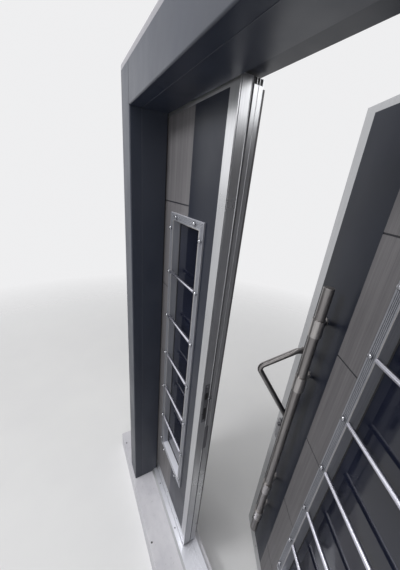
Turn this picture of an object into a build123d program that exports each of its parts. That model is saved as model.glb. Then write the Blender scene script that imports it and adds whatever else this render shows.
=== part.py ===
from build123d import *
import os
from math import cos, radians, sin

os.makedirs("parts", exist_ok=True)

# Steel entrance door, a wide active leaf beside a narrow passive leaf, on a display plinth.
# Millimetres. X runs along the door to the right as seen from the outside, Y runs inwards,
# Z is up. The origin is the centre of the plinth's underside.

# Driving dimensions
opening_w = 1330
passive_share = 0.338
leaf_h = 2090
leaf_t = 68
open_angle = 27

# Plinth and threshold
plinth_w = 2052
plinth_d = 270
plinth_h = 130
plinth_round = 4
sill_h = 16
sill_nose = 10
sill_lip = 35
leaf_gap_floor = 10

# Frame and casing
casing_w = 125
casing_h = 151
casing_t = 16
casing_return = 46
casing_round = 14
casing_ease = 5
casing_overhang = 15
reveal_depth = 150
stop_overlap = 10
leaf_play = 6
steel_w = 54
back_trim_t = 14
back_trim_set = 19
back_trim_ease = 4

# Leaves
meeting_gap = 11
skin_t = 3
edge_w = 41
edge_inner_w = 30
edge_web = 16
edge_wall = 3
gasket_w = 5
gasket_deep = 8
gasket_at = 36
edge_line_at = 53
edge_line_w = 2
edge_line_deep = 1
corner_line_w = 2.5
band_end = 226
top_strip_h = 20
bottom_rail_h = 75
groove_w = 5
groove_deep = 2
groove_share = 0.1805
groove_first = 0.126
groove_count = 5
inner_panel_t = 20
inner_panel_in = 14

# Windows
window_h = leaf_h * 0.6575
window_mid = leaf_h * 0.501
passive_window_from = 96
passive_window_w = 278
active_window_from = 331
active_window_w = 320
window_flat = 30
window_lap = 8
window_proud = 6
rib_w = 2
rib_deep = 1.2
rib_first = 5
rib_pitch = 5
rib_count = 4
glass_t = 20
glass_set = 27
rod_r = 7
rod_sink = 8
rod_count = 5
rod_pitch = window_h * 0.1594

# Hinges
hinge_r = 11
hinge_pin_r = 5
hinge_bore_r = 5.05
hinge_half_h = 55
hinge_split = 1
hinge_clear = 24
hinge_off = inner_panel_t + hinge_clear
hinge_side = 3
hinge_wing_far = 21
hinge_wing_near = 5
hinge_shares = (0.105, 0.5, 0.895)

# Pull handle
tube_r = 16.5
tube_s = 168
tube_d = 55
tube_bottom = 272
tube_top = 1594
tube_ease = 1.5
collar_r = 20.5
collar_h = 62
collar_play = 0.2
mount_spread = (-530, -318, 290, 520)
post_lean = 50
post_w = 18
post_h = 14
rose_r = 16
rose_t = 4

# Bent handle
bent_r = 11
bent_s = 48
bent_reach = 166
bent_foot = 26
bent_round = 22
bent_top = 1272
bent_knee = 1182
bent_low = 926
bent_rose_r = 17
bent_rose_t = 4

# Lock
lock_plate_w = 22
lock_plate_h = 400
lock_plate_t = 3
lock_mid = 990
lock_d = 22
escutcheon_w = 30
escutcheon_h = 118
escutcheon_t = 5
escutcheon_s = 36
escutcheon_mid = 820
cylinder_r = 8.5
cylinder_proud = 8
cylinder_up = 28
keyway_w = 2.5
keyway_h = 9
strike_h = 200
strike_mid = 1052
strike_slot_w = 14
bolt_slot_h = 68
bolt_slot_down = 54
latch_slot_h = 36
latch_slot_up = 40

# Lever handle on the inside of the active leaf
lever_plate_w = 44
lever_plate_h = 240
lever_plate_t = 9
lever_s = 52
lever_z = 950
lever_up = 62
lever_r = 9.5
lever_out = 48
lever_length = 125
turn_r = 15
turn_out = 16
turn_down = 40

# Levels and faces worked out from the above
front_y = -plinth_d / 2 + casing_overhang
face_y = front_y + reveal_depth
back_y = face_y + leaf_t
stop_y = face_y - leaf_play
return_y = front_y + casing_return
half_open = opening_w / 2
edge_x = half_open + stop_overlap
rebate_x = edge_x + leaf_play
post_x = half_open + casing_w
leaf_z = plinth_h + sill_h + leaf_gap_floor
leaf_top_z = leaf_z + leaf_h
soffit_z = leaf_top_z - stop_overlap
head_z = leaf_top_z + leaf_play
casing_top_z = soffit_z + casing_h
passive_w = opening_w * passive_share + stop_overlap
active_w = 2 * edge_x - passive_w - meeting_gap
hinge_x = edge_x + hinge_side
hinge_y = back_y + hinge_off


def save(piece, name):
    piece.part.label = name
    export_step(piece.part, f"parts/{name}.step")


class Leaf:
    """A leaf's own directions: s from the latch edge to the hinges, d outwards, z up."""

    def __init__(self, width, pivot_x, side, angle):
        turn = radians(angle)
        self.width = width
        self.side = side
        self.along = Vector(-side * cos(turn), -sin(turn), 0)
        self.out = Vector(side * sin(turn), -cos(turn), 0)
        pivot = Vector(pivot_x, hinge_y, leaf_z)
        reach = width + hinge_side
        self.corner = pivot - self.along * reach + self.out * (hinge_off + leaf_t)

    def at(self, s, d, z):
        return self.corner + self.along * s + self.out * d + Vector(0, 0, z)

    def floor(self, z=0):
        """Level plane at height z: its x is s, its y is side times d."""
        return Plane(origin=self.at(0, 0, z), x_dir=self.along, z_dir=(0, 0, 1))

    def face(self, d=0):
        """Plane of the outer face, moved out by d: its x is s, its y is minus side times z."""
        return Plane(origin=self.at(0, d, 0), x_dir=self.along, z_dir=self.out)

    def across(self, s, d, z):
        """Plane square to the leaf's width, looking towards the hinges."""
        return Plane(origin=self.at(s, d, z), x_dir=self.out, z_dir=self.along)

    def plan(self, *points):
        return [(s, self.side * d) for s, d in points]

    def on_face(self, s, z):
        return (s, -self.side * z)


passive = Leaf(passive_w, -hinge_x, 1, 0)
active = Leaf(active_w, hinge_x, -1, open_angle)


# Plinth
with BuildPart() as plinth:
    with BuildSketch(Plane.XY):
        Rectangle(plinth_w, plinth_d)
    extrude(amount=plinth_h)
    fillet(plinth.edges().group_by(Axis.Z)[-1], plinth_round)
save(plinth, "plinth")

# Threshold, a ribbed metal sill between the reveals
sill_front = face_y - sill_lip
with BuildPart() as threshold:
    with BuildSketch(Plane.YZ.offset(-half_open)):
        with BuildLine():
            Polyline(
                (sill_front, plinth_h),
                (sill_front, plinth_h + edge_wall),
                (sill_front + sill_nose, plinth_h + sill_h),
                (back_y + sill_nose, plinth_h + sill_h),
                (back_y + sill_nose, plinth_h),
                close=True,
            )
        make_face()
        with Locations(((face_y + back_y) / 2, plinth_h + sill_h)):
            with GridLocations(sill_nose, 0, rib_count, 1):
                Rectangle(rib_w, 2 * rib_w, mode=Mode.SUBTRACT)
    extrude(amount=opening_w)
save(threshold, "threshold")


def casing_post(side):
    """Full height post: a front face, a short return into the reveal and a deep outer side."""
    inner = half_open
    outer = post_x
    points = [
        (inner, return_y),
        (inner, front_y),
        (outer, front_y),
        (outer, back_y),
        (outer - casing_t, back_y),
        (outer - casing_t, front_y + casing_t),
        (inner + casing_t, front_y + casing_t),
        (inner + casing_t, return_y),
    ]
    with BuildPart() as post:
        with BuildSketch(Plane.XY.offset(plinth_h)):
            with BuildLine():
                Polyline(*[(side * x, y) for x, y in points], close=True)
            make_face()
        extrude(amount=casing_top_z - plinth_h)
        with BuildSketch(Plane.XY.offset(casing_top_z - casing_t)):
            with Locations((side * (inner + outer) / 2, (front_y + back_y) / 2)):
                Rectangle(casing_w, back_y - front_y)
        extrude(amount=casing_t)
        front_edges = post.edges().filter_by(Axis.Z).group_by(Axis.Y)[0]
        by_reach = front_edges.sort_by(lambda edge: abs(edge.center().X))
        fillet(by_reach[0], casing_ease)
        fillet(by_reach[-1], casing_round)
        top_edges = post.edges().group_by(Axis.Z)[-1].filter_by(Axis.X)
        fillet(top_edges.sort_by(Axis.Y)[0], casing_round)
    return post


save(casing_post(-1), "casing_post_left")
save(casing_post(1), "casing_post_right")

# Casing header, butted between the posts
with BuildPart() as casing_header:
    with BuildSketch(Plane.YZ.offset(-half_open)):
        with BuildLine():
            Polyline(
                (return_y, soffit_z),
                (front_y, soffit_z),
                (front_y, casing_top_z),
                (back_y, casing_top_z),
                (back_y, casing_top_z - casing_t),
                (front_y + casing_t, casing_top_z - casing_t),
                (front_y + casing_t, soffit_z + casing_t),
                (return_y, soffit_z + casing_t),
                close=True,
            )
        make_face()
    extrude(amount=opening_w)
    header_front = casing_header.edges().filter_by(Axis.X).group_by(Axis.Y)[0].sort_by(Axis.Z)
    fillet(header_front[0], casing_ease)
    fillet(header_front[-1], casing_round)
save(casing_header, "casing_header")

# Reveal linings, which also form the stop that the leaves close against
lining_depth = stop_y - return_y
lining_h = soffit_z + casing_t - plinth_h
for side, word in ((-1, "left"), (1, "right")):
    with BuildPart() as lining:
        with BuildSketch(Plane.XY.offset(plinth_h)):
            with Locations((side * (half_open + casing_t / 2), (stop_y + return_y) / 2)):
                Rectangle(casing_t, lining_depth)
        extrude(amount=lining_h)
    save(lining, f"reveal_lining_{word}")

with BuildPart() as head_lining:
    with BuildSketch(Plane.YZ.offset(-half_open)):
        with Locations(((stop_y + return_y) / 2, soffit_z + casing_t / 2)):
            Rectangle(lining_depth, casing_t)
    extrude(amount=opening_w)
save(head_lining, "reveal_lining_head")

# Steel frame behind the linings, with the fixed halves of the hinges
frame_top_z = head_z + steel_w
hinge_levels = [leaf_z + leaf_h * share for share in hinge_shares]


def steel_jamb(side):
    with BuildPart() as jamb:
        with BuildSketch(Plane.XY.offset(plinth_h)):
            with Locations((side * (rebate_x + steel_w / 2), (return_y + back_y) / 2)):
                Rectangle(steel_w, back_y - return_y)
        extrude(amount=frame_top_z - plinth_h)
        for level in hinge_levels:
            with BuildSketch(Plane.XY.offset(level - hinge_half_h)):
                with Locations((side * hinge_x, hinge_y)):
                    Circle(hinge_r)
                wing_mid = hinge_x + (hinge_wing_near + hinge_wing_far) / 2
                with Locations((side * wing_mid, back_y + hinge_off / 2)):
                    Rectangle(hinge_wing_far - hinge_wing_near, hinge_off)
            extrude(amount=hinge_half_h - hinge_split / 2)
            with BuildSketch(Plane.XY.offset(level - hinge_split / 2)):
                with Locations((side * hinge_x, hinge_y)):
                    Circle(hinge_pin_r)
            extrude(amount=hinge_half_h)
    return jamb


save(steel_jamb(-1), "steel_jamb_left")
save(steel_jamb(1), "steel_jamb_right")

with BuildPart() as steel_head:
    with BuildSketch(Plane.YZ.offset(-rebate_x)):
        with Locations(((return_y + back_y) / 2, head_z + steel_w / 2)):
            Rectangle(back_y - return_y, steel_w)
    extrude(amount=2 * rebate_x)
save(steel_head, "steel_head")

# Back trim, the plain boards round the frame on the inside
back_trim_x = rebate_x + back_trim_set
for side, word in ((-1, "left"), (1, "right")):
    with BuildPart() as back_trim:
        with BuildSketch(Plane.XY.offset(plinth_h)):
            with Locations((side * (back_trim_x + post_x) / 2, back_y + back_trim_t / 2)):
                Rectangle(post_x - back_trim_x, back_trim_t)
        extrude(amount=casing_top_z - plinth_h)
        fillet(back_trim.edges().filter_by(Axis.Z).group_by(Axis.Y)[-1], back_trim_ease)
    save(back_trim, f"back_trim_{word}")

with BuildPart() as back_trim_head:
    with BuildSketch(Plane.YZ.offset(-back_trim_x)):
        with Locations((back_y + back_trim_t / 2, (head_z + back_trim_set + casing_top_z) / 2)):
            Rectangle(back_trim_t, casing_top_z - head_z - back_trim_set)
    extrude(amount=2 * back_trim_x)
    fillet(back_trim_head.edges().filter_by(Axis.X).group_by(Axis.Y)[-1], back_trim_ease)
save(back_trim_head, "back_trim_head")


def window_sketch(leaf, plane, start, width, inset):
    """Rectangle of the window on a face plane, drawn in by inset all round."""
    with BuildSketch(plane) as outline:
        with Locations(leaf.on_face(start + width / 2, window_mid)):
            Rectangle(width - 2 * inset, window_h - 2 * inset)
    return outline.sketch


def leaf_core(leaf, start, width):
    """Painted steel body of the leaf, with the moving halves of its hinges."""
    outline = leaf.plan(
        (edge_web, -skin_t),
        (edge_w, -skin_t),
        (edge_w, 0),
        (band_end, 0),
        (band_end, -skin_t),
        (leaf.width, -skin_t),
        (leaf.width, -leaf_t),
        (edge_inner_w, -leaf_t),
        (edge_inner_w, edge_wall - leaf_t),
        (edge_web, edge_wall - leaf_t),
    )
    with BuildPart() as core:
        with BuildSketch(leaf.floor()):
            with BuildLine():
                Polyline(*outline, close=True)
            make_face()
        extrude(amount=leaf_h)
        for low, high in ((0, bottom_rail_h), (leaf_h - top_strip_h, leaf_h)):
            with BuildSketch(leaf.floor(low)):
                with Locations(*leaf.plan(((edge_w + band_end) / 2, -skin_t / 2))):
                    Rectangle(band_end - edge_w, skin_t)
            extrude(amount=high - low, mode=Mode.SUBTRACT)
        hole = window_sketch(leaf, leaf.face(-leaf_t), start, width, window_lap)
        extrude(hole, amount=leaf_t, mode=Mode.SUBTRACT)
        for share in hinge_shares:
            level = leaf_h * share + hinge_split / 2
            with BuildSketch(leaf.floor(level)):
                with Locations(*leaf.plan((leaf.width + hinge_side, -leaf_t - hinge_off))):
                    Circle(hinge_r)
                wing_mid = leaf.width + hinge_side - (hinge_wing_near + hinge_wing_far) / 2
                with Locations(*leaf.plan((wing_mid, -leaf_t - hinge_off / 2))):
                    Rectangle(hinge_wing_far - hinge_wing_near, hinge_off)
                with Locations(*leaf.plan((leaf.width + hinge_side, -leaf_t - hinge_off))):
                    Circle(hinge_bore_r, mode=Mode.SUBTRACT)
            extrude(amount=hinge_half_h)
    return core


def wood_panel(leaf, start, width):
    """Laminate panel on the hinge side of the outer face, with level grooves."""
    low = bottom_rail_h
    high = leaf_h - top_strip_h
    span = leaf.width - band_end
    with BuildPart() as panel:
        with BuildSketch(leaf.floor(low)):
            with Locations(*leaf.plan((band_end + span / 2, -skin_t / 2))):
                Rectangle(span, skin_t)
        extrude(amount=high - low)
        hole = window_sketch(leaf, leaf.face(-skin_t), start, width, window_lap)
        extrude(hole, amount=skin_t, mode=Mode.SUBTRACT)
        for step in range(groove_count):
            level = leaf_h * (groove_first + groove_share * step)
            with BuildSketch(leaf.face(-groove_deep)):
                with Locations(leaf.on_face(band_end + span / 2, level)):
                    Rectangle(span, groove_w)
            extrude(amount=groove_deep, mode=Mode.SUBTRACT)
    return panel


def inner_panel(leaf, start, width):
    """Plain panel on the inner face, short of the latch edge and of the hinges."""
    low = inner_panel_in
    high = leaf_h - inner_panel_in
    far = leaf.width - hinge_wing_far - hinge_side
    with BuildPart() as panel:
        with BuildSketch(leaf.floor(low)):
            centre = ((inner_panel_in + far) / 2, -leaf_t - inner_panel_t / 2)
            with Locations(*leaf.plan(centre)):
                Rectangle(far - inner_panel_in, inner_panel_t)
        extrude(amount=high - low)
        upright = panel.edges().filter_by(Axis.Z)
        fillet(upright.sort_by(lambda edge: edge.center().dot(leaf.out))[:2], back_trim_ease)
        hole = window_sketch(leaf, leaf.face(-leaf_t - inner_panel_t), start, width, window_lap)
        extrude(hole, amount=inner_panel_t, mode=Mode.SUBTRACT)
    return panel


def edge_trim(leaf, pocket_mid, pocket_h):
    """Aluminium latch edge extrusion with the top strip and the bottom rail on the outer face."""
    outline = leaf.plan(
        (0, 0),
        (edge_w, 0),
        (edge_w, -skin_t),
        (edge_web, -skin_t),
        (edge_web, edge_wall - leaf_t),
        (edge_inner_w, edge_wall - leaf_t),
        (edge_inner_w, -leaf_t),
        (0, -leaf_t),
        (0, -edge_line_at - edge_line_w),
        (edge_line_deep, -edge_line_at - edge_line_w),
        (edge_line_deep, -edge_line_at),
        (0, -edge_line_at),
        (0, -gasket_at - gasket_w),
        (gasket_deep, -gasket_at - gasket_w),
        (gasket_deep, -gasket_at),
        (0, -gasket_at),
        (0, -skin_t - corner_line_w),
        (edge_wall, -skin_t - corner_line_w),
        (edge_wall, -skin_t),
        (0, -skin_t),
    )
    chamber_w = edge_web - 2 * edge_wall - lock_plate_t
    chamber_s = lock_plate_t + edge_wall + chamber_w / 2
    outer_span = gasket_at - 3 * edge_wall
    inner_span = leaf_t - gasket_at - gasket_w - 3 * edge_wall
    with BuildPart() as trim:
        with BuildSketch(leaf.floor()):
            with BuildLine():
                Polyline(*outline, close=True)
            make_face()
            with Locations(*leaf.plan((chamber_s, -edge_wall - skin_t - outer_span / 2))):
                Rectangle(chamber_w, outer_span, mode=Mode.SUBTRACT)
            with Locations(*leaf.plan((chamber_s, -leaf_t + 2 * edge_wall + inner_span / 2))):
                Rectangle(chamber_w, inner_span, mode=Mode.SUBTRACT)
        extrude(amount=leaf_h)
        for low, high in ((0, bottom_rail_h), (leaf_h - top_strip_h, leaf_h)):
            with BuildSketch(leaf.floor(low)):
                with Locations(*leaf.plan(((edge_w + leaf.width) / 2, -skin_t / 2))):
                    Rectangle(leaf.width - edge_w, skin_t)
            extrude(amount=high - low)
        with BuildSketch(leaf.across(0, -lock_d, pocket_mid)):
            Rectangle(lock_plate_w, pocket_h)
        extrude(amount=lock_plate_t, mode=Mode.SUBTRACT)
    return trim


def window_ring(leaf, start, width, front, back):
    """One half of the window frame: a ribbed flat ring in front and a sleeve down to the glass."""
    outwards = 1 if front > back else -1
    proud = outwards * window_proud
    with BuildPart() as ring:
        extrude(window_sketch(leaf, leaf.face(back), start, width, window_lap), amount=front - back)
        extrude(window_sketch(leaf, leaf.face(front), start, width, 0), amount=proud)
        opening = window_sketch(leaf, leaf.face(back), start, width, window_flat)
        extrude(opening, amount=front + proud - back, mode=Mode.SUBTRACT)
        for rib in range(rib_count):
            inset = rib_first + rib_pitch * rib
            with BuildSketch(leaf.face(front + proud)):
                with Locations(leaf.on_face(start + width / 2, window_mid)):
                    Rectangle(width - 2 * inset, window_h - 2 * inset)
                    Rectangle(
                        width - 2 * inset - 2 * rib_w,
                        window_h - 2 * inset - 2 * rib_w,
                        mode=Mode.SUBTRACT,
                    )
            extrude(amount=-outwards * rib_deep, mode=Mode.SUBTRACT)
    return ring


def rod_plane(leaf, start, step):
    level = window_mid + rod_pitch * (step - (rod_count - 1) / 2)
    return leaf.across(start + window_flat, window_proud + rod_r - rod_sink, level)


def window_pane(leaf, start, width):
    with BuildPart() as pane:
        outline = window_sketch(leaf, leaf.face(-glass_set - glass_t), start, width, window_lap)
        extrude(outline, amount=glass_t)
    return pane


def window_rod(leaf, start, width, step):
    with BuildPart() as rod:
        with BuildSketch(rod_plane(leaf, start, step)):
            Circle(rod_r)
        extrude(amount=width - 2 * window_flat)
    return rod


def build_leaf(leaf, word, start, width, pocket_mid, pocket_h):
    """Everything that both leaves have, written under the leaf's own name."""
    glass_front = -glass_set
    inner_face = -leaf_t - inner_panel_t
    save(leaf_core(leaf, start, width), f"{word}_leaf_core")
    save(wood_panel(leaf, start, width), f"{word}_wood_panel")
    save(inner_panel(leaf, start, width), f"{word}_inner_panel")
    save(edge_trim(leaf, pocket_mid, pocket_h), f"{word}_edge_trim")
    save(window_ring(leaf, start, width, 0, glass_front), f"{word}_window_frame_outer")
    inner_ring = window_ring(leaf, start, width, inner_face, glass_front - glass_t)
    save(inner_ring, f"{word}_window_frame_inner")
    save(window_pane(leaf, start, width), f"{word}_window_glass")
    for step in range(rod_count):
        save(window_rod(leaf, start, width, step), f"{word}_window_rod_{step + 1}")


build_leaf(passive, "passive", passive_window_from, passive_window_w, strike_mid, strike_h)
build_leaf(active, "active", active_window_from, active_window_w, lock_mid, lock_plate_h)

# Strike plate on the passive leaf's edge, with the latch opening above the bolt opening
with BuildPart() as strike_plate:
    with BuildSketch(passive.across(0, -lock_d, strike_mid)):
        Rectangle(lock_plate_w, strike_h)
        with Locations((0, -bolt_slot_down)):
            SlotOverall(bolt_slot_h, strike_slot_w, rotation=90, mode=Mode.SUBTRACT)
        with Locations((0, latch_slot_up)):
            SlotOverall(latch_slot_h, strike_slot_w, rotation=90, mode=Mode.SUBTRACT)
    extrude(amount=lock_plate_t)
save(strike_plate, "passive_strike_plate")

# Lock face plate on the active leaf's edge
with BuildPart() as lock_face_plate:
    with BuildSketch(active.across(0, -lock_d, lock_mid)):
        Rectangle(lock_plate_w, lock_plate_h)
    extrude(amount=lock_plate_t)
save(lock_face_plate, "active_lock_face_plate")

# Cylinder escutcheon on the active leaf's outer face
with BuildPart() as escutcheon:
    with BuildSketch(active.face()):
        with Locations(active.on_face(escutcheon_s, escutcheon_mid)):
            SlotOverall(escutcheon_h, escutcheon_w, rotation=90)
    extrude(amount=escutcheon_t)
    with BuildSketch(active.face(escutcheon_t)):
        with Locations(active.on_face(escutcheon_s, escutcheon_mid + cylinder_up)):
            Circle(cylinder_r)
            Rectangle(keyway_w, keyway_h, mode=Mode.SUBTRACT)
    extrude(amount=cylinder_proud)
save(escutcheon, "active_lock_escutcheon")

# Long pull tube
with BuildPart() as pull_tube:
    with BuildSketch(active.floor(tube_bottom)):
        with Locations(*active.plan((tube_s, tube_d))):
            Circle(tube_r)
    extrude(amount=tube_top - tube_bottom)
    chamfer(pull_tube.edges().filter_by(GeomType.CIRCLE), tube_ease)
save(pull_tube, "active_pull_tube")

# Collars that clamp the tube, each on a leaning post and a round rose
tube_mid = (tube_top + tube_bottom) / 2
mount_levels = [tube_mid + offset for offset in mount_spread]
post_foot = active.at(tube_s - post_lean, 0, 0)
post_way = active.out * tube_d + active.along * post_lean
with BuildPart() as pull_mounts:
    with BuildSketch(active.face()):
        with Locations(*[active.on_face(tube_s - post_lean, level) for level in mount_levels]):
            Circle(rose_r)
    extrude(amount=rose_t)
    for level in mount_levels:
        foot = post_foot + Vector(0, 0, level)
        with BuildSketch(Plane(origin=foot, x_dir=(0, 0, 1), z_dir=post_way)):
            Rectangle(post_h, post_w)
        extrude(amount=post_way.length, both=True)
        with BuildSketch(active.floor(level - collar_h / 2)):
            with Locations(*active.plan((tube_s, tube_d))):
                Circle(collar_r)
        extrude(amount=collar_h)
    split(bisect_by=active.face(), keep=Keep.TOP)
    with BuildSketch(active.floor(tube_bottom)):
        with Locations(*active.plan((tube_s, tube_d))):
            Circle(tube_r + collar_play)
    extrude(amount=tube_top - tube_bottom, mode=Mode.SUBTRACT)
save(pull_mounts, "active_pull_mounts")

# Bent handle, a round bar with a knee that stands out from the face near the latch edge
bent_normal = active.out.cross(Vector(0, 0, 1))
bent_plane = Plane(origin=active.at(bent_s, 0, 0), x_dir=active.out, z_dir=bent_normal)
bent_slope = (bent_knee - bent_low) / bent_reach
with BuildPart() as bent_handle:
    with BuildLine(bent_plane) as bent_path:
        FilletPolyline(
            (bent_rose_t, bent_top),
            (bent_foot, bent_top),
            (bent_reach, bent_knee),
            (-bent_r, bent_low - bent_slope * bent_r),
            radius=bent_round,
        )
    with BuildSketch(Plane(origin=bent_path.line @ 0, z_dir=bent_path.line % 0)):
        Circle(bent_r)
    sweep()
    split(bisect_by=active.face(), keep=Keep.TOP)
    with BuildSketch(active.face()):
        with Locations(active.on_face(bent_s, bent_top), active.on_face(bent_s, bent_low)):
            Circle(bent_rose_r)
    extrude(amount=bent_rose_t)
save(bent_handle, "active_bent_handle")

# Lever handle on the inside, on a long plate with the lock's turn knob below it
inner_face = -leaf_t - inner_panel_t
lever_plane = Plane(origin=active.at(lever_s, inner_face, lever_z), x_dir=active.along, z_dir=-active.out)
with BuildPart() as inner_lever:
    with BuildSketch(lever_plane):
        Rectangle(lever_plate_w, lever_plate_h)
    extrude(amount=lever_plate_t)
    with BuildSketch(lever_plane):
        with Locations((0, active.side * lever_up)):
            Circle(lever_r)
    extrude(amount=lever_out)
    with BuildSketch(active.across(lever_s - lever_r, inner_face - lever_out, lever_z + lever_up)):
        Circle(lever_r)
    extrude(amount=lever_length)
    with BuildSketch(lever_plane):
        with Locations((0, -active.side * turn_down)):
            Circle(turn_r)
    extrude(amount=lever_plate_t + turn_out)
save(inner_lever, "active_inner_lever_handle")
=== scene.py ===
import math

import bmesh
import bpy
from mathutils import Matrix, Vector


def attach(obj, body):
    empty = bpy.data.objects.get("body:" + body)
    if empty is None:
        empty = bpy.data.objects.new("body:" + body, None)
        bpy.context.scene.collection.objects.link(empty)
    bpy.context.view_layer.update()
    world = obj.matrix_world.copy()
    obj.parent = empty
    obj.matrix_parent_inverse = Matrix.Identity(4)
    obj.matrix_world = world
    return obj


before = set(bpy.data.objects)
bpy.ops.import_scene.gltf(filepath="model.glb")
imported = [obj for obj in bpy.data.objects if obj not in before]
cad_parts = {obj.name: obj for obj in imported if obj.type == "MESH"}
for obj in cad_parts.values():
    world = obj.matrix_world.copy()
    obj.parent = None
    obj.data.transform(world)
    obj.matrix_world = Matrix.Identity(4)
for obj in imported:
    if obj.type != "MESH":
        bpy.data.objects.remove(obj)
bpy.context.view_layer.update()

# Lengths are in metres. Sections and profiles are in mm, and MM turns them into metres.
MM = 0.001
X_AXIS = Vector((1, 0, 0))
Y_AXIS = Vector((0, 1, 0))
UP = Vector((0, 0, 1))

# Sizes shared with the solids, from here to the windows: first the frame
OPENING_W = 1.330
HALF_OPEN = OPENING_W / 2
PLINTH_H = 0.130
SILL_TOP = 0.146
SOFFIT_Z = 2.236
HIGHLIGHT_Z = 2.360  # foot of the pale band, a painted highlight, along the casing's upper front edge
FRONT_Y = -0.120
RETURN_Y = -0.074  # where the casing's returns meet the linings
STOP_Y = 0.024
STOP_OVERLAP = 0.010

# The leaves, with levels above their foot
LEAF_H = 2.090
LEAF_T = 0.068
LEAF_Z = 0.156
FACE_Y = 0.030
PASSIVE_SHARE = 0.338
MEETING_GAP = 0.011
PASSIVE_W = OPENING_W * PASSIVE_SHARE + STOP_OVERLAP
ACTIVE_W = OPENING_W + 2 * STOP_OVERLAP - PASSIVE_W - MEETING_GAP
OPEN_ANGLE = math.radians(27)  # of the active leaf at rest
BAND_END = 0.226  # from the latch edge to the laminate
GROOVE_FIRST = 0.126  # shares of the leaf's height
GROOVE_STEP = 0.1805
GROOVE_COUNT = 5
INNER_T = 0.020
INNER_FACE = -LEAF_T - INNER_T

# The hinges
HINGE_SIDE = 0.003
HINGE_OFF = 0.044
HINGE_X = HALF_OPEN + STOP_OVERLAP + HINGE_SIDE
HINGE_Y = FACE_Y + LEAF_T + HINGE_OFF
HINGE_HALF_H = 0.055
HINGE_SHARES = (0.105, 0.5, 0.895)

# The windows
WINDOW_H = LEAF_H * 0.6575
WINDOW_MID = LEAF_H * 0.501
WINDOW_LOW = WINDOW_MID - WINDOW_H / 2
WINDOW_HIGH = WINDOW_MID + WINDOW_H / 2
WINDOW_PROUD = 0.006
WINDOW_FLAT = 0.030
ROD_PITCH = WINDOW_H * 0.1594
GLASS_SET = 0.027
GLASS_T = 0.020
RIB_FROM, RIB_PITCH, RIB_W, RIB_DEEP = -25, 5, 2, 1.2  # mm, from the flat's inner edge
RIB_COUNT = 4


class Leaf:
    """A leaf's own directions: s from the latch edge to the hinges, d outwards, z up."""

    def __init__(self, word, width, pivot_x, side, turn, window_from, window_w):
        self.word = word
        self.body = f"{word}_leaf"
        self.width = width
        self.window_from = window_from
        self.window_w = window_w
        self.window_to = window_from + window_w
        self.along = Vector((-side * math.cos(turn), -math.sin(turn), 0))
        self.out = Vector((side * math.sin(turn), -math.cos(turn), 0))
        pivot = Vector((pivot_x, HINGE_Y, LEAF_Z))
        self.corner = pivot - self.along * (width + HINGE_SIDE) + self.out * (HINGE_OFF + LEAF_T)

    def at(self, s, d, z):
        """The point at s and d, with z from the leaf's foot."""
        return self.corner + self.along * s + self.out * d + Vector((0, 0, z))


passive = Leaf("passive", PASSIVE_W, -HINGE_X, side=1, turn=0, window_from=0.096, window_w=0.278)
active = Leaf("active", ACTIVE_W, HINGE_X, side=-1, turn=OPEN_ANGLE,
              window_from=0.331, window_w=0.320)
LEAVES = (passive, active)


# Materials
WHITE = (1, 1, 1, 1)
MIDDLE = (0.3, 0.7)  # the reach that most values of a noise lie in


def linear(red, green, blue):
    """A colour given as 0 to 255, as the shader wants it."""
    out = []
    for value in (red, green, blue):
        value /= 255
        out.append(value / 12.92 if value <= 0.04045 else ((value + 0.055) / 1.055) ** 2.4)
    return (*out, 1)


def add_node(tree, kind, **values):
    """A new node with values for its inputs, whose names take _ for a space."""
    node = tree.nodes.new(kind)
    for name, value in values.items():
        node.inputs[name.replace("_", " ")].default_value = value
    return node


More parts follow.
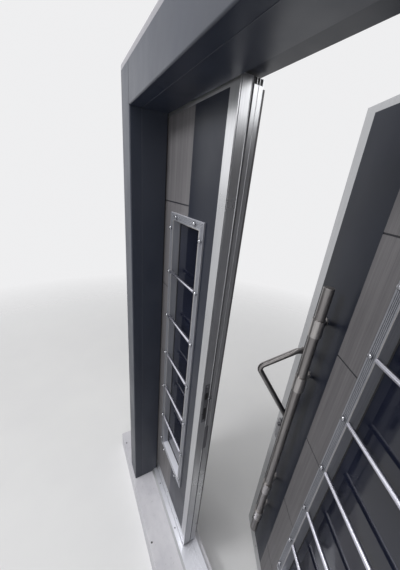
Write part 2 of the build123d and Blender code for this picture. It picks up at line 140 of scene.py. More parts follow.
class Finish:
    """A node material with helpers for patterns that lie in the object's own coordinates."""

    def __init__(self, name, **values):
        self.material = bpy.data.materials.new(name)
        self.material.use_nodes = True
        self.tree = self.material.node_tree
        self.shader = self.tree.nodes["Principled BSDF"]
        for label, value in values.items():
            self.shader.inputs[label].default_value = value
        self.coords = self.tree.nodes.new("ShaderNodeTexCoord")

    def link(self, source, target):
        self.tree.links.new(source, target)

    def noise(self, scale, detail=3.0, rough=0.55, distortion=0.0):
        """Noise whose cells are scaled apart along x, y and z."""
        mapping = add_node(self.tree, "ShaderNodeMapping", Scale=scale)
        self.link(self.coords.outputs["Object"], mapping.inputs["Vector"])
        node = add_node(self.tree, "ShaderNodeTexNoise", Scale=1.0, Detail=detail,
                        Roughness=rough, Distortion=distortion)
        self.link(mapping.outputs["Vector"], node.inputs["Vector"])
        return node.outputs["Fac"]

    def painted_highlight_mask(self):
        """One on the band of painted highlight along the casing's upper front edge, nothing
        elsewhere.
        """
        depth, blur_y, blur_z = 0.022, 0.001, 0.0008
        place = self.tree.nodes.new("ShaderNodeSeparateXYZ")
        self.link(self.coords.outputs["Object"], place.inputs["Vector"])
        high = self.span(place.outputs["Z"], (HIGHLIGHT_Z, HIGHLIGHT_Z + blur_z))
        front = self.span(place.outputs["Y"], (FRONT_Y + depth, FRONT_Y + depth - blur_y))
        both = self.tree.nodes.new("ShaderNodeMath")
        both.operation = "MULTIPLY"
        self.link(high, both.inputs[0])
        self.link(front, both.inputs[1])
        return both.outputs[0]

    def upward(self):
        """One on faces that look up, where dust settles and light from above is painted, nothing
        on upright ones.
        """
        facing = self.tree.nodes.new("ShaderNodeSeparateXYZ")
        self.link(self.coords.outputs["Normal"], facing.inputs["Vector"])
        return self.span(facing.outputs["Z"], (0.6, 0.95))

    def span(self, source, reach, low=0.0, high=1.0):
        """From low to high while the source goes through its reach."""
        node = add_node(self.tree, "ShaderNodeMapRange", From_Min=reach[0], From_Max=reach[1],
                        To_Min=low, To_Max=high)
        self.link(source, node.inputs["Value"])
        return node.outputs["Result"]

    def ramp(self, source, reach, first, second):
        """From the first colour to the second while the source goes through its reach."""
        node = self.tree.nodes.new("ShaderNodeValToRGB")
        for element, place, colour in zip(node.color_ramp.elements, reach, (first, second)):
            element.position = place
            element.color = colour
        self.link(source, node.inputs["Fac"])
        return node.outputs["Color"]

    def mix(self, blend, factor, first, second):
        """Two colours blended. Each value is a node's output, or else a plain one."""
        node = self.tree.nodes.new("ShaderNodeMix")
        node.data_type = "RGBA"
        node.blend_type = blend
        # The Mix node has more sockets than it shows; these are the ones for colours
        for index, value in ((0, factor), (6, first), (7, second)):
            if isinstance(value, bpy.types.NodeSocket):
                self.link(value, node.inputs[index])
            else:
                node.inputs[index].default_value = value
        return node.outputs[2]

    def stain(self, base, share, source, reach, tint):
        """The base with a share of the tint multiplied in where the source is low."""
        return self.mix("MULTIPLY", share, base, self.ramp(source, reach, tint, WHITE))

    def bump(self, source, strength, distance):
        """Relief on top of what relief the shader has already."""
        node = add_node(self.tree, "ShaderNodeBump", Strength=strength, Distance=distance)
        self.link(source, node.inputs["Height"])
        previous = self.shader.inputs["Normal"].links
        if previous:
            self.link(previous[0].from_socket, node.inputs["Normal"])
        self.link(node.outputs["Normal"], self.shader.inputs["Normal"])

    def colour(self, source):
        self.link(source, self.shader.inputs["Base Color"])

    def roughness(self, source, low, high, reach=MIDDLE):
        self.link(self.span(source, reach, low, high), self.shader.inputs["Roughness"])


def coated(name, dark, light, rough, painted_highlight_colour=None, ior=1.55):
    """Fine textured powder coat, with a little cloudiness and a slow change of sheen, and where
    asked a painted highlight band along the casing's upper front edge.
    """
    finish = Finish(name, IOR=ior)
    cloud = finish.noise((3, 3, 1.4), detail=4, rough=0.6)
    base = finish.ramp(cloud, MIDDLE, linear(*dark), linear(*light))
    # A painted highlight: the pale band along the casing's upper front edge
    if painted_highlight_colour:
        base = finish.mix("MIX", finish.painted_highlight_mask(), base, linear(*painted_highlight_colour))
    finish.colour(base)
    finish.roughness(finish.noise((9, 9, 5)), rough - 0.05, rough + 0.07)
    finish.bump(finish.noise((1500, 1500, 1500), detail=2), strength=0.25, distance=0.0002)
    return finish.material


def wood(name, dark, light):
    """Grey laminate with a vertical grain: broad bands, fine fibres and short pores."""
    finish = Finish(name)
    bands = finish.noise((58, 58, 1.1), detail=4, rough=0.65, distortion=0.8)
    fibres = finish.noise((420, 420, 3.2), detail=3, rough=0.7)
    pores = finish.noise((900, 900, 12), detail=2, rough=0.6)
    base = finish.ramp(bands, (0.28, 0.72), linear(*dark), linear(*light))
    base = finish.stain(base, 0.55, fibres, (0.34, 0.6), (0.6, 0.6, 0.62, 1))
    base = finish.stain(base, 0.45, pores, (0.3, 0.42), (0.5, 0.5, 0.52, 1))
    finish.colour(base)
    finish.roughness(fibres, 0.42, 0.58)
    finish.bump(fibres, strength=0.25, distance=0.0004)
    finish.bump(pores, strength=0.2, distance=0.0002)
    return finish.material


def metal(name, dark, light, rough, scale, metallic=1.0, dust_and_top_light=None, relief=0.12):
    """Bare metal, drawn along the axis with the small scale, and pale on faces that look up: dust
    with painted light from above.
    """
    finish = Finish(name, Metallic=metallic)
    lines = finish.noise(scale, detail=3, rough=0.65)
    marks = finish.noise((7, 7, 7), detail=4, rough=0.6)
    base = finish.ramp(lines, MIDDLE, linear(*dark), linear(*light))
    base = finish.stain(base, 0.25, marks, (0.35, 0.6), (0.8, 0.8, 0.8, 1))
    # Paler on faces that look up: dust, and painted light from above
    if dust_and_top_light:
        base = finish.mix("MIX", finish.upward(), base, linear(*dust_and_top_light))
    finish.colour(base)
    finish.roughness(marks, rough - 0.04, rough + 0.06)
    finish.bump(lines, relief, distance=0.0001)
    return finish.material


def glass(name, dark, light):
    """Dark reflective glazing with a faint film of dust."""
    finish = Finish(name, IOR=1.5)
    cloud = finish.noise((5, 5, 3), detail=4, rough=0.6)
    film = finish.noise((30, 30, 12), detail=4, rough=0.6)
    finish.colour(finish.ramp(cloud, MIDDLE, linear(*dark), linear(*light)))
    finish.roughness(film, 0.04, 0.12, reach=(0.35, 0.75))
    return finish.material


def painted(name, dark, light):
    """Painted board, a little clouded and spotted with dirt."""
    finish = Finish(name)
    cloud = finish.noise((6, 9, 9), detail=5, rough=0.65)
    spots = finish.noise((60, 60, 60), detail=3, rough=0.7)
    base = finish.ramp(cloud, (0.32, 0.62), linear(*dark), linear(*light))
    finish.colour(finish.stain(base, 0.5, spots, (0.3, 0.38), (0.72, 0.71, 0.7, 1)))
    finish.roughness(cloud, 0.45, 0.65)
    finish.bump(finish.noise((500, 500, 500), detail=2), strength=0.15, distance=0.0003)
    return finish.material


def rubber(name, dark, light):
    """Sealing rubber, dull and a little dusty."""
    finish = Finish(name)
    cloud = finish.noise((40, 40, 12), detail=4, rough=0.6)
    finish.colour(finish.ramp(cloud, (0.35, 0.75), linear(*dark), linear(*light)))
    finish.roughness(cloud, 0.55, 0.8)
    finish.bump(finish.noise((900, 900, 900), detail=2), strength=0.2, distance=0.0002)
    return finish.material


COAT = ((32, 37, 50), (40, 46, 60))
BARE_ALUMINIUM = ((184, 185, 188), (202, 203, 205))
materials = {
    # The casing's pale band, (136, 135, 141), is a painted highlight along its upper front edge
    "anthracite_casing": coated("anthracite_casing", *COAT, 0.4, (136, 135, 141), ior=1.5),
    "reveal": coated("anthracite_reveal", *COAT, 0.38),
    "anthracite_steel": coated("anthracite_steel", (18, 23, 36), (25, 31, 46), 0.36, ior=1.4),
    "grey_wood": wood("grey_wood", (99, 97, 100), (121, 119, 121)),
    # The pale colours on faces that look up are dust together with painted light from above
    "aluminium": metal("aluminium", *BARE_ALUMINIUM, 0.3, (700, 700, 4),
                       metallic=0.85, dust_and_top_light=(220, 221, 228)),
    "sill": metal("sill_aluminium", *BARE_ALUMINIUM, 0.42, (4, 500, 500),
                  metallic=0.85, dust_and_top_light=(206, 207, 214)),
    "ring": metal("window_ring", (142, 144, 151), (164, 166, 174), 0.36, (500, 500, 6),
                  metallic=0.35, dust_and_top_light=(236, 237, 246)),
    # Painted shade: dark lines in the rings' grooves
    "ring_groove_shade": metal("ring_groove_shade", (66, 68, 73), (84, 86, 92), 0.42, (500, 500, 6),
                         metallic=0.35),
    "chrome": metal("chrome", (192, 192, 202), (212, 212, 222), 0.26, (30, 30, 500), relief=0.03),
    "stud": metal("stud_steel", (150, 151, 156), (178, 179, 184), 0.14, (60, 60, 60)),
    "stainless": metal("stainless", (128, 125, 125), (150, 147, 146), 0.38, (300, 300, 8),
                       relief=0.04),
    "clamp": metal("clamp_steel", (168, 165, 164), (188, 185, 183), 0.3, (300, 300, 8),
                   relief=0.04),
    "dark_glass": glass("dark_glass", (17, 20, 33), (27, 31, 47)),
    "white_plinth": painted("white_plinth", (190, 189, 196), (207, 206, 211)),
    "lock_steel": metal("lock_steel", (120, 120, 124), (158, 158, 162), 0.3, (500, 500, 6)),
    "rubber": rubber("seal_rubber", (17, 17, 19), (33, 33, 36)),
    "grey_rubber": rubber("edge_seal_rubber", (70, 70, 74), (100, 100, 105)),
    # Painted shade: dark faces in screw recesses, holes, slots, mouths and hollows
    "recess": coated("painted_recess_shade", (14, 14, 16), (24, 24, 27), 0.6),
    # Painted shade: dark lines in grooves and joints, and paler ones in the linings' joints
    "joint": coated("joint_shade_line", (22, 23, 30), (32, 33, 42), 0.5),
    "joint_light": coated("joint_line_light", (56, 59, 69), (66, 69, 80), 0.4),
}


def finish_of(name):
    """The finish of a solid, by its name."""
    if "reveal_lining" in name:
        return "reveal"
    if name.startswith("casing"):
        return "anthracite_casing"
    if name.startswith(("steel", "back_trim")) or name.endswith("leaf_core"):
        return "anthracite_steel"
    if name.endswith(("wood_panel", "inner_panel")):
        return "grey_wood"
    if "window_frame" in name:
        return "ring"
    if "window_rod" in name:
        return "chrome"
    if "glass" in name:
        return "dark_glass"
    if name == "active_pull_mounts":
        return "clamp"
    if "pull" in name or "handle" in name:
        return "stainless"
    if name == "plinth":
        return "white_plinth"
    if name == "threshold":
        return "sill"
    if "lock" in name or "strike" in name:
        return "lock_steel"
    return "aluminium"


for name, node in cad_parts.items():
    node.data.materials.clear()
    node.data.materials.append(materials[finish_of(name)])


# Small forms
LOBES = 6
CORNER_STEPS = 4
SHARP = 0.7  # the angle from which an edge is drawn sharp, in radians


class Form:
    """A mesh in the making. Its faces take its first finish where no other is named."""

    def __init__(self, *finishes):
        self.mesh = bmesh.new()
        self.finishes = finishes

    def close(self, corners, finish, smooth):
        """A new face between corners that are in the mesh."""
        face = self.mesh.faces.new(corners)
        face.smooth = smooth
        face.material_index = self.finishes.index(finish) if finish else 0
        return face

    def turned(self, centre, axis, profile, finish=None, segments=20):
        """A profile of (radius, height, wave) in mm, turned round the axis; a wave makes lobes."""
        axis = axis.normalized()
        side = axis.orthogonal().normalized()
        over = axis.cross(side)
        rings = []
        for radius, height, *wave in profile:
            middle = centre + axis * (height * MM)
            if radius == 0:
                rings.append([self.mesh.verts.new(middle)])
                continue
            ring = []
            for step in range(segments):
                angle = math.tau * step / segments
                lobe = wave[0] * math.cos(LOBES * angle) if wave else 0
                spoke = side * math.cos(angle) + over * math.sin(angle)
                ring.append(self.mesh.verts.new(middle + spoke * (radius * MM * (1 + lobe))))
            rings.append(ring)
        for low, high in zip(rings, rings[1:]):
            for step in range(segments):
                after = (step + 1) % segments
                if len(low) == 1:
                    corners = [low[0], high[after], high[step]]
                elif len(high) == 1:
                    corners = [low[step], low[after], high[0]]
                else:
                    corners = [low[step], low[after], high[after], high[step]]
                self.close(corners, finish, True)

    def prism(self, section, reach, finish=None, ease=0.0):
        """A closed section moved along a vector, with its edges eased."""
        low = [self.mesh.verts.new(point) for point in section]
        high = [self.mesh.verts.new(point + reach) for point in section]
        faces = [self.close(low[::-1], finish, False), self.close(high, finish, False)]
        for step in range(len(section)):
            after = (step + 1) % len(section)
            corners = [low[step], low[after], high[after], high[step]]
            faces.append(self.close(corners, finish, False))
        if ease:
            edges = list({edge for face in faces for edge in face.edges})
            bmesh.ops.bevel(self.mesh, geom=edges, offset=ease, segments=2, profile=0.6,
                            affect="EDGES")

    def finish_mesh(self, name, body):
        """Turns the form into a piece that rides on a body."""
        bmesh.ops.recalc_face_normals(self.mesh, faces=self.mesh.faces)
        for edge in self.mesh.edges:
            edge.smooth = edge.calc_face_angle(0) < SHARP
        mesh = bpy.data.meshes.new(name)
        self.mesh.to_mesh(mesh)
        self.mesh.free()
        piece = bpy.data.objects.new(name, mesh)
        bpy.context.collection.objects.link(piece)
        for finish in self.finishes:
            piece.data.materials.append(materials[finish])
        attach(piece, body)


def rectangle(centre, across, along, width, height, corner=0.0):
    """Points of a rectangle with round corners, in metres."""
    points = []
    for number, (right, top) in enumerate(((1, 1), (-1, 1), (-1, -1), (1, -1))):
        middle = centre + across * (right * (width / 2 - corner))
        middle += along * (top * (height / 2 - corner))
        for step in range(CORNER_STEPS + 1 if corner else 1):
            angle = math.radians(90 * (number + step / CORNER_STEPS))
            points.append(middle + across * (math.cos(angle) * corner)
                          + along * (math.sin(angle) * corner))
    return points


def screw(form, centre, axis, radius):
    """Low head with a six-lobed recess, its radius in mm; the recess is dark with painted shade.
    """
    wave = 0.16
    recess = ((radius * 0.42, 0.35, wave), (0, 0.3))
    head = ((radius, -0.3), (radius, 0.4), (radius * 0.86, 1.0), (radius * 0.52, 1.3),
            (radius * 0.46, 1.25, wave), recess[0])
    form.turned(centre, axis, head, segments=24)
    form.turned(centre, axis, recess, "recess", segments=24)


def edge_plate(form, leaf, place, size, thick, corner=0.0, finish=None, ease=0.0):
    """A plate that stands on a leaf's latch edge, its middle at (s, d, z)."""
    section = rectangle(leaf.at(*place), leaf.out, UP, *size, corner)
    form.prism(section, -leaf.along * thick, finish, ease)


# Studs on the outer window rings and caps on the inner ones
STUD = ((4.2, -0.5), (4.2, 3.2), (6.6, 3.6), (7.5, 4.4), (7.6, 5.6), (7.0, 7.4), (5.6, 8.9),
        (3.2, 9.8), (0, 10.1))
CAP = ((5.5, -0.4), (5.5, 0.8), (4.9, 1.9), (2.8, 2.7), (0, 2.9))
STUD_INSET = 0.0125  # from the ring's outer edge to a stud's middle
LAST_STUD = 0.061  # from the ring's end to the last stud of a long side
SHORT_SIDE_SHARE = 0.28  # of the width, from the middle to a stud of a short side


def stud_places(leaf):
    """Places (s, z) of a ring's studs: at the rods and the ends, then on the short sides."""
    levels = [WINDOW_MID + ROD_PITCH * step for step in (-2, -1, 0, 1, 2)]
    levels += [WINDOW_LOW + LAST_STUD, WINDOW_HIGH - LAST_STUD]
    places = [(leaf.window_from + STUD_INSET, z) for z in levels]
    places += [(leaf.window_to - STUD_INSET, z) for z in levels]
    middle = leaf.window_from + leaf.window_w / 2
    reach = leaf.window_w * SHORT_SIDE_SHARE
    for z in (WINDOW_LOW + STUD_INSET, WINDOW_HIGH - STUD_INSET):
        places += [(middle - reach, z), (middle + reach, z)]
    return places


for leaf in LEAVES:
    studs = Form("stud")
    caps = Form("ring")
    for s, z in stud_places(leaf):
        studs.turned(leaf.at(s, WINDOW_PROUD, z), leaf.out, STUD, segments=24)
        caps.turned(leaf.at(s, INNER_FACE - WINDOW_PROUD, z), -leaf.out, CAP, segments=18)
    studs.finish_mesh(f"{leaf.word}_window_studs", leaf.body)
    caps.finish_mesh(f"{leaf.word}_inner_ring_caps", leaf.body)

# Sections round the window's opening, as (inwards, proud) in mm from the flat's inner edge
LIP = ((-2.7, -0.2), (-2.5, 0.5), (-1.9, 1.0), (-1.2, 1.1), (-0.5, 0.8), (-0.1, 0.2), (-0.1, -0.2))
GLAZING = ((-0.4, -0.2), (-0.4, 2.6), (1.2, 2.4), (3.2, 1.0), (3.4, -0.2))
RIB_PLAY = 0.1  # left free beside a groove's line of painted shade, and its height over the groove's floor


def mitred(form, leaf, section, base, way=1):
    """A section run round the window's opening, mitred at its corners."""
    rings = []
    for inwards, proud in section:
        inset = WINDOW_FLAT + inwards * MM
        left, right = leaf.window_from + inset, leaf.window_to - inset
        low, high = WINDOW_LOW + inset, WINDOW_HIGH - inset
        level = base + way * proud * MM
        corners = ((left, low), (right, low), (right, high), (left, high))
        rings.append([form.mesh.verts.new(leaf.at(s, level, z)) for s, z in corners])
    for first, second in zip(rings, rings[1:]):
        for step in range(4):
            after = (step + 1) % 4
            form.close([first[step], first[after], second[after], second[step]], None, True)


# Bright lips round the rings, dark lines of painted shade in their grooves, and gaskets on both
# sides of the glass
for leaf in LEAVES:
    lips = Form("clamp")
    mitred(lips, leaf, LIP, WINDOW_PROUD)
    lips.finish_mesh(f"{leaf.word}_window_lip", leaf.body)
    ribs = Form("ring_groove_shade")
    low, high = -RIB_DEEP - RIB_PLAY, -RIB_DEEP + RIB_PLAY
    for step in range(RIB_COUNT):
        near = RIB_FROM + RIB_PITCH * step + RIB_PLAY
        far = near + RIB_W - 2 * RIB_PLAY
        mitred(ribs, leaf, ((near, low), (near, high), (far, high), (far, low)), WINDOW_PROUD)
    ribs.finish_mesh(f"{leaf.word}_window_rib_shade_lines", leaf.body)
    glazing = Form("rubber")
    mitred(glazing, leaf, GLAZING, -GLASS_SET)
    mitred(glazing, leaf, GLAZING, -GLASS_SET - GLASS_T, way=-1)
    glazing.finish_mesh(f"{leaf.word}_glazing_gasket", leaf.body)

# Painted shade: dark lines at the bottom of the laminate's level grooves
LINE_D, LINE_W, LINE_T = -0.0019, 0.0046, 0.0006
LINE_PLAY = 0.0004
LINE_TUCK = 0.001  # how far a line of painted shade runs under the window ring
for leaf in LEAVES:
    lines = Form("joint")
    for step in range(GROOVE_COUNT):
        level = LEAF_H * (GROOVE_FIRST + GROOVE_STEP * step)
        if WINDOW_LOW < level < WINDOW_HIGH:
            cuts = [(leaf.window_to - LINE_TUCK, leaf.width)]
            if leaf.window_from > BAND_END:
                cuts.insert(0, (BAND_END, leaf.window_from + LINE_TUCK))
        else:
            cuts = [(BAND_END, leaf.width)]
        for low, high in cuts:
            centre = leaf.at((low + high) / 2, LINE_D, level)
            section = rectangle(centre, leaf.along, UP, high - low - LINE_PLAY, LINE_W)
            lines.prism(section, leaf.out * LINE_T)
    lines.finish_mesh(f"{leaf.word}_groove_shade_lines", leaf.body)

# Gaskets and beads along the latch edges, as sections of (s, d) in mm
GASKET = ((7.8, -36.2), (0.4, -36.2), (-0.7, -37.0), (-1.2, -38.5), (-0.7, -40.0), (0.4, -40.8),
          (7.8, -40.8))
BEAD = ((0.2, -32.9), (-0.5, -33.1), (-1.0, -33.7), (-1.2, -34.4), (-1.0, -35.1), (-0.5, -35.7),
        (0.2, -35.9))
STRIP_FROM, STRIP_TO = 0.002, LEAF_H - 0.002
# The passive edge's strips leave room for the flush bolt and the round adjuster
PASSIVE_SPANS = ((STRIP_FROM, 0.776), (0.922, 1.060), (1.088, STRIP_TO))
ACTIVE_SPANS = ((STRIP_FROM, STRIP_TO),)
for leaf, spans in ((passive, PASSIVE_SPANS), (active, ACTIVE_SPANS)):
    strips = Form("grey_rubber", "aluminium")
    for low, high in spans:
        for section, finish in ((GASKET, "grey_rubber"), (BEAD, "aluminium")):
            points = [leaf.at(s * MM, d * MM, low) for s, d in section]
            strips.prism(points, UP * (high - low), finish)
    strips.finish_mesh(f"{leaf.word}_edge_gasket", leaf.body)

# Rivets of the bottom rails
RIVET = ((4.0, -0.4), (4.0, 0.3), (3.4, 1.1), (1.8, 1.6), (0, 1.7))
RAILS = (
    # leaf, level of its rivets, their places from the latch edge
    (passive, 0.048, (0.107, 0.254, 0.400)),
    (active, 0.050, (0.154, 0.346, 0.538, 0.730)),
)
for leaf, level, places in RAILS:
    rivets = Form("lock_steel")
    for s in places:
        rivets.turned(leaf.at(s, 0, level), leaf.out, RIVET)
    rivets.finish_mesh(f"{leaf.word}_rail_rivets", leaf.body)

# Bolt work on the passive leaf's edge: dark slots of painted shade, screws, a round adjuster and a
# flush bolt
EDGE_SINK = 0.0002  # of the plates that stand on a latch edge
HOLLOW_T = 0.0005  # of the dark faces of painted shade that stand for hollows
LOCK_D = -0.022  # middle line of the strike plate and of the lock plate
PLATE_SCREW_R = 3.6  # mm
STRIKE_SLOTS = ((0.998, 0.0672), (1.092, 0.0352))  # level and height
SLOT_S, SLOT_W, SLOT_T, SLOT_CORNER = 0.0028, 0.0132, 0.0006, 0.0064
STRIKE_SCREWS = (0.964, 1.042, 1.140)
ADJUSTER_D, ADJUSTER_LEVEL = -0.038, 1.073
ADJUSTER = ((8.5, -0.3), (8.5, 1.6, 0.05), (7.4, 2.6, 0.04), (4.4, 2.9), (4.0, 2.2))
ADJUSTER_HOLE = ((4.0, 2.2), (3.4, 0.9), (0, 0.6))
BOLT_D = -0.043
FLUSH_BOLT = (
    # s, level, width and height, thickness, corner, ease
    (EDGE_SINK, 0.849, (0.018, 0.140), 0.0014, 0.0088, 0.0004),  # its plate
    (-0.0011, 0.862, (0.008, 0.084), 0.0005, 0.0038, 0.0),  # the lever's groove
    (-0.0011, 0.872, (0.0058, 0.056), 0.0022, 0.0028, 0.0007),  # the lever
)
BOLT_SCREWS, BOLT_SCREW_S, BOLT_SCREW_R = (0.788, 0.911), -0.0012, 3.0

away = -passive.along
work = Form("lock_steel", "recess")
for level, height in STRIKE_SLOTS:
    edge_plate(work, passive, (SLOT_S, LOCK_D, level), (SLOT_W, height), SLOT_T, SLOT_CORNER,
               "recess")
for level in STRIKE_SCREWS:
    screw(work, passive.at(0, LOCK_D, level), away, PLATE_SCREW_R)
adjuster_foot = passive.at(0, ADJUSTER_D, ADJUSTER_LEVEL)
work.turned(adjuster_foot, away, ADJUSTER, segments=36)
work.turned(adjuster_foot, away, ADJUSTER_HOLE, "recess", segments=24)
for s, level, size, thick, corner, ease in FLUSH_BOLT:
    edge_plate(work, passive, (s, BOLT_D, level), size, thick, corner, ease=ease)
for level in BOLT_SCREWS:
    screw(work, passive.at(BOLT_SCREW_S, BOLT_D, level), away, BOLT_SCREW_R)
work.finish_mesh("passive_edge_bolt_work", passive.body)

# Open end of the seal channel at the top of the passive edge: a dark face of painted shade for the
# hollow, between thin walls
CHANNEL_D, CHANNEL_LEVEL = -0.0535, 2.0825
CHANNEL_W, CHANNEL_H = 0.0250, 0.0130
WALLS_D = (-0.0475, -0.0560, -0.0655)
WALL_W, WALL_T, WALL_EASE = 0.0016, 0.0014, 0.0003
channel = Form("aluminium", "recess")
place = (EDGE_SINK, CHANNEL_D, CHANNEL_LEVEL)
edge_plate(channel, passive, place, (CHANNEL_W, CHANNEL_H), HOLLOW_T, finish="recess")
for d in WALLS_D:
    place = (EDGE_SINK, d, CHANNEL_LEVEL)
    edge_plate(channel, passive, place, (WALL_W, CHANNEL_H), WALL_T, ease=WALL_EASE)
channel.finish_mesh("passive_edge_channel_end", passive.body)

# Bolts in dark mouths of painted shade, a round bush and screws in the active leaf's lock plate
LOCK_BOLTS = ((0.998, 0.062), (1.092, 0.032))  # level and height
BOLT_W, BOLT_T, BOLT_CORNER, BOLT_EASE = 0.0125, 0.0022, 0.003, 0.0008
MOUTH_GAP, MOUTH_CORNER = 0.002, 0.004  # the gap is that of both sides together
LOCK_SCREWS = (0.806, 0.900, 1.050, 1.174)
BUSH_LEVEL = 0.948
BUSH = ((5.5, -0.2), (5.5, 0.6), (4.6, 0.9), (4.2, 0.4))
BUSH_HOLE = ((4.2, 0.4), (0, 0.3))

away = -active.along
bolts = Form("lock_steel", "recess")
for level, height in LOCK_BOLTS:
    place = (EDGE_SINK, LOCK_D, level)
    mouth = (BOLT_W + MOUTH_GAP, height + MOUTH_GAP)
    edge_plate(bolts, active, place, mouth, HOLLOW_T, MOUTH_CORNER, "recess")
    edge_plate(bolts, active, place, (BOLT_W, height), BOLT_T, BOLT_CORNER, ease=BOLT_EASE)
for level in LOCK_SCREWS:
    screw(bolts, active.at(0, LOCK_D, level), away, PLATE_SCREW_R)
bush_foot = active.at(0, LOCK_D, BUSH_LEVEL)
bolts.turned(bush_foot, away, BUSH, segments=24)
bolts.turned(bush_foot, away, BUSH_HOLE, "recess", segments=24)
bolts.finish_mesh("active_lock_bolts", active.body)

# Screws of the escutcheon, and grub screws in the collars of the pull tube
ESCUTCHEON_S, ESCUTCHEON_D = 0.036, 0.005
ESCUTCHEON_SCREWS, ESCUTCHEON_SCREW_R = (0.820 - 0.044, 0.820 + 0.053), 3.1
TUBE_S, TUBE_D, COLLAR_R = 0.168, 0.055, 0.0203
COLLARS, COLLAR_SCREW_STEP = (0.403, 0.615, 1.223, 1.453), 0.022
GRUB = ((2.6, -0.5), (2.6, 0.35), (1.6, 0.4))
GRUB_HOLE = ((1.6, 0.4), (0, 0.3))

# The screws' recesses and the grub screws' holes are dark with painted shade
screws = Form("lock_steel", "recess")
for level in ESCUTCHEON_SCREWS:
    screw(screws, active.at(ESCUTCHEON_S, ESCUTCHEON_D, level), active.out, ESCUTCHEON_SCREW_R)
for level in COLLARS:
    for step in (-COLLAR_SCREW_STEP, COLLAR_SCREW_STEP):
        centre = active.at(TUBE_S, TUBE_D - COLLAR_R, level + step)
        screws.turned(centre, -active.out, GRUB, segments=18)
        screws.turned(centre, -active.out, GRUB_HOLE, "recess", segments=18)
screws.finish_mesh("active_handle_screws", active.body)

# Inner side: screws of the lever plate, collar of the lever's neck, grip of the turn knob
LEVER_S, LEVER_PLATE_T = 0.052, 0.009
LEVER_SCREWS = (0.950 - 0.105, 0.950 + 0.105)
NECK_LEVEL = 1.012
NECK = ((14.5, -0.2), (14.5, 3.0), (13.6, 4.6), (11.2, 5.4), (9.4, 5.6))
KNOB_LEVEL, KNOB_T = 0.910, 0.0158
GRIP_W, GRIP_H, GRIP_T, GRIP_CORNER, GRIP_EASE = 0.007, 0.026, 0.0062, 0.003, 0.001

inside = -active.out
plate_face = INNER_FACE - LEVER_PLATE_T
trim = Form("stainless", "recess")
for level in LEVER_SCREWS:
    screw(trim, active.at(LEVER_S, plate_face, level), inside, PLATE_SCREW_R)
trim.turned(active.at(LEVER_S, plate_face, NECK_LEVEL), inside, NECK, segments=32)
knob_face = active.at(LEVER_S, plate_face - KNOB_T, KNOB_LEVEL)
grip = rectangle(knob_face, active.along, UP, GRIP_W, GRIP_H, GRIP_CORNER)
trim.prism(grip, inside * GRIP_T, ease=GRIP_EASE)
trim.finish_mesh("active_lever_trim", active.body)

# Hinge caps: the lower ones stand still, and the upper ones turn with the leaf
HINGE_CAP = ((10.9, -0.4), (10.9, 0.4), (10.2, 2.2), (8.0, 3.8), (4.5, 4.8), (0, 5.1))
UPPER_CAP_GAP = 0.0005
fixed = Form("lock_steel")
for leaf in LEAVES:
    moving = Form("lock_steel")
    for share in HINGE_SHARES:
        axle = leaf.at(leaf.width + HINGE_SIDE, -LEAF_T - HINGE_OFF, LEAF_H * share)
        fixed.turned(axle - UP * HINGE_HALF_H, -UP, HINGE_CAP, segments=28)
        moving.turned(axle + UP * (HINGE_HALF_H + UPPER_CAP_GAP), UP, HINGE_CAP, segments=28)
    moving.finish_mesh(f"{leaf.word}_hinge_caps", leaf.body)
fixed.finish_mesh("frame_hinge_caps", "frame")

# Seal round the stop that the leaves close against, as a section of (outwards, inwards) in mm
BULB = ((0, 0), (8, 0), (8, 1.4), (7.2, 3.6), (5.6, 5.0), (4, 5.4), (2.4, 5.0), (0.8, 3.6),
        (0, 1.4))
SIDE_SEAL_OUT, HEAD_SEAL_OUT = 0.002, 0.001
SEAL_FOOT, SEAL_RISE, HEAD_SEAL_RISE = 0.001, 0.009, 0.0015
seal = Form("rubber")
for side in (-1, 1):
    foot = Vector((side * (HALF_OPEN + SIDE_SEAL_OUT), STOP_Y, SILL_TOP + SEAL_FOOT))
    points = [foot + X_AXIS * (side * out * MM) + Y_AXIS * (inwards * MM) for out, inwards in BULB]
    seal.prism(points, UP * (SOFFIT_Z + SEAL_RISE - foot.z))
foot = Vector((-HALF_OPEN - HEAD_SEAL_OUT, STOP_Y, SOFFIT_Z + HEAD_SEAL_RISE))
points = [foot + UP * (out * MM) + Y_AXIS * (inwards * MM) for out, inwards in BULB]
seal.prism(points, X_AXIS * (2 * (HALF_OPEN + HEAD_SEAL_OUT)))
seal.finish_mesh("frame_stop_seal", "frame")

# Dark lines of painted shade in the joints between the posts and the header, and between the
# casing's returns and the linings
JOINT_W, JOINT_T, JOINT_SINK = 0.0024, 0.0008, 0.0005
LINING_LINE = (0.0008, 0.0014)
LINING_SINK = 0.0003
LINING_END = 0.001
joints = Form("joint", "joint_light")
for side in (-1, 1):
    centre = Vector((side * HALF_OPEN, FRONT_Y + JOINT_SINK, (SOFFIT_Z + HIGHLIGHT_Z) / 2))
    section = rectangle(centre, X_AXIS, UP, JOINT_W, HIGHLIGHT_Z - SOFFIT_Z)
    joints.prism(section, Y_AXIS * -JOINT_T)
    foot = Vector((side * (HALF_OPEN - LINING_SINK), RETURN_Y, PLINTH_H + LINING_END))
    section = rectangle(foot, X_AXIS, Y_AXIS, *LINING_LINE)
    joints.prism(section, UP * (SOFFIT_Z - PLINTH_H - 2 * LINING_END), "joint_light")
start = Vector((LINING_END - HALF_OPEN, RETURN_Y, SOFFIT_Z - LINING_SINK))
section = rectangle(start, UP, Y_AXIS, *LINING_LINE)
joints.prism(section, X_AXIS * (OPENING_W - 2 * LINING_END), "joint_light")
joints.finish_mesh("casing_joint_shade_lines", "frame")

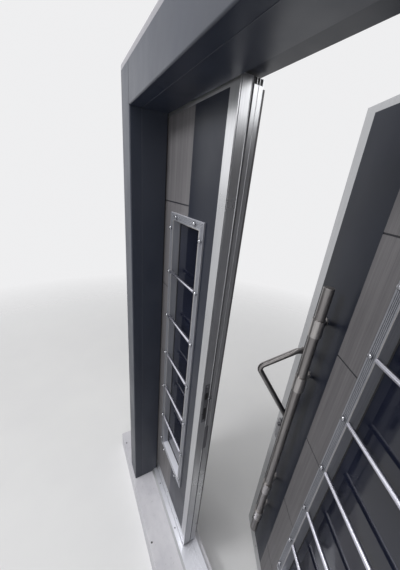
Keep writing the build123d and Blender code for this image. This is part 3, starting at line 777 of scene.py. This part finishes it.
# Screws in the plinth's top and in the threshold
PLINTH_SCREWS = (-0.935, -0.312, 0.312, 0.935)
PLINTH_SCREW = ((5.2, -0.3), (5.2, 0.3), (4.4, 0.6))
PLINTH_SCREW_HOLE = ((4.4, 0.6), (3.6, 0.2), (0, 0.15))
SILL_SCREWS = (-0.560, -0.308, 0.0, 0.308, 0.560)
SILL_SCREW_Y, SILL_SCREW_R = 0.017, 4.2
# The screws' holes and recesses are dark with painted shade
fixings = Form("lock_steel", "recess")
for x in PLINTH_SCREWS:
    place = Vector((x, FRONT_Y, PLINTH_H))
    fixings.turned(place, UP, PLINTH_SCREW, segments=24)
    fixings.turned(place, UP, PLINTH_SCREW_HOLE, "recess", segments=24)
for x in SILL_SCREWS:
    screw(fixings, Vector((x, SILL_SCREW_Y, SILL_TOP)), UP, SILL_SCREW_R)
fixings.finish_mesh("plinth_and_sill_screws", "frame")


# Camera, as solved from the photograph's edges
CAMERA_PLACE = (0.3607, -0.3605, 1.9960)
CAMERA_AXES = ((0.46905, -0.37281, 0.80062), (0.87869, 0.10574, -0.46554),
               (0.08890, 0.92185, 0.37719))
camera_data = bpy.data.cameras.new("camera")
camera = bpy.data.objects.new("camera", camera_data)
bpy.context.collection.objects.link(camera)
camera_data.sensor_fit = "AUTO"
camera_data.sensor_width = 36
camera_data.lens = 15.255
camera_data.clip_start = 0.01
camera.matrix_world = Matrix.Translation(CAMERA_PLACE) @ Matrix(CAMERA_AXES).to_4x4()
bpy.context.scene.camera = camera


# Floor, which fades into the background with the distance from the door
FLOOR_HALF = 14
FADE = (1.4, 5.0)


def floor_material():
    """Pale matt floor that grows clear as it leaves the door."""
    finish = Finish("floor", Roughness=0.8)
    cloud = finish.noise((1.5, 1.5, 1.5), detail=4)
    finish.colour(finish.ramp(cloud, MIDDLE, linear(226, 226, 227), linear(232, 232, 232)))
    distance = finish.tree.nodes.new("ShaderNodeVectorMath")
    distance.operation = "LENGTH"
    finish.link(finish.coords.outputs["Object"], distance.inputs[0])
    clear = finish.tree.nodes.new("ShaderNodeBsdfTransparent")
    mixer = finish.tree.nodes.new("ShaderNodeMixShader")
    finish.link(finish.span(distance.outputs["Value"], FADE), mixer.inputs["Fac"])
    finish.link(finish.shader.outputs[0], mixer.inputs[1])
    finish.link(clear.outputs[0], mixer.inputs[2])
    finish.link(mixer.outputs[0], finish.tree.nodes["Material Output"].inputs["Surface"])
    return finish.material


grid = bmesh.new()
bmesh.ops.create_grid(grid, x_segments=8, y_segments=8, size=FLOOR_HALF)
floor_mesh = bpy.data.meshes.new("floor")
grid.to_mesh(floor_mesh)
grid.free()
floor = bpy.data.objects.new("floor", floor_mesh)
bpy.context.collection.objects.link(floor)
floor.data.materials.append(floor_material())

# World: a soft light for the object, and a pale background for the camera, metal and glass
WORLD_LIGHT = 0.3
BACKGROUND = (0.86, 0.86, 0.87, 1)
world = bpy.data.worlds.new("studio")
bpy.context.scene.world = world
world.use_nodes = True
tree = world.node_tree
soft = tree.nodes["Background"]
soft.inputs["Color"].default_value = WHITE
soft.inputs["Strength"].default_value = WORLD_LIGHT
seen = add_node(tree, "ShaderNodeBackground", Color=BACKGROUND, Strength=1.0)
path = tree.nodes.new("ShaderNodeLightPath")
sees = path.outputs["Is Camera Ray"]
for ray in ("Is Glossy Ray", "Is Transmission Ray"):
    either = tree.nodes.new("ShaderNodeMath")
    either.operation = "MAXIMUM"
    tree.links.new(sees, either.inputs[0])
    tree.links.new(path.outputs[ray], either.inputs[1])
    sees = either.outputs[0]
mixer = tree.nodes.new("ShaderNodeMixShader")
tree.links.new(sees, mixer.inputs["Fac"])
tree.links.new(soft.outputs[0], mixer.inputs[1])
tree.links.new(seen.outputs[0], mixer.inputs[2])
tree.links.new(mixer.outputs[0], tree.nodes["World Output"].inputs["Surface"])

# Lamps
LAMPS = (
    # name, place, height of its aim above the origin, size, power
    ("key_lamp", (-0.9, -2.3, 3.4), 1.2, 0.7, 40),
    ("side_lamp", (-3.2, -1.9, 2.7), 1.6, 1.4, 6),
    ("top_lamp", (-0.6, -0.9, 4.3), 0.6, 1.6, 64),
    ("fill_lamp", (3.2, -1.6, 2.2), 1.1, 2.4, 24),
    ("back_lamp", (2.6, 2.6, 3.7), 1.4, 1.8, 22),
)
for name, place, aim, size, power in LAMPS:
    data = bpy.data.lights.new(name, "AREA")
    data.shape = "SQUARE"
    data.size = size
    data.energy = power
    lamp = bpy.data.objects.new(name, data)
    bpy.context.collection.objects.link(lamp)
    lamp.location = place
    lamp.rotation_euler = (UP * aim - Vector(place)).to_track_quat("-Z", "Y").to_euler()

bpy.context.scene.view_settings.view_transform = "Standard"
